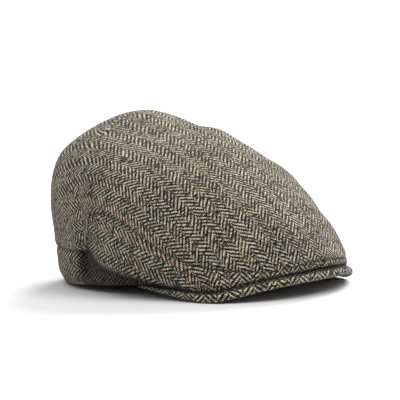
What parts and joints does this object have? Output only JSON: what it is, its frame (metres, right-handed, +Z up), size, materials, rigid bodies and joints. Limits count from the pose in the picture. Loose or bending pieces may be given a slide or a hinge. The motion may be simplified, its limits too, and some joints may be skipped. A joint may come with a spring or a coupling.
{
  "type": "flat cap",
  "caption": "Flat cap in herringbone tweed: one-piece top, two tucked side panels and a covered peak.",
  "frame": {"origin": "on the surface the cap rests on, below the middle of the whole cap", "axes": "+Z up through the crown, -Y towards the peak, +X towards the wearer's left"},
  "size_m": [0.1856, 0.2456, 0.1335],
  "materials": {
    "top_cloth": "matte wool herringbone",
    "right_side_cloth": "matte wool herringbone",
    "left_side_cloth": "matte wool herringbone",
    "peak_cloth": "matte wool herringbone"
  },
  "bodies": {
    "root": {"top_panel": "top_cloth", "side_panel_right": "right_side_cloth", "side_panel_left": "left_side_cloth", "peak": "peak_cloth"}
  },
  "joints": []
}
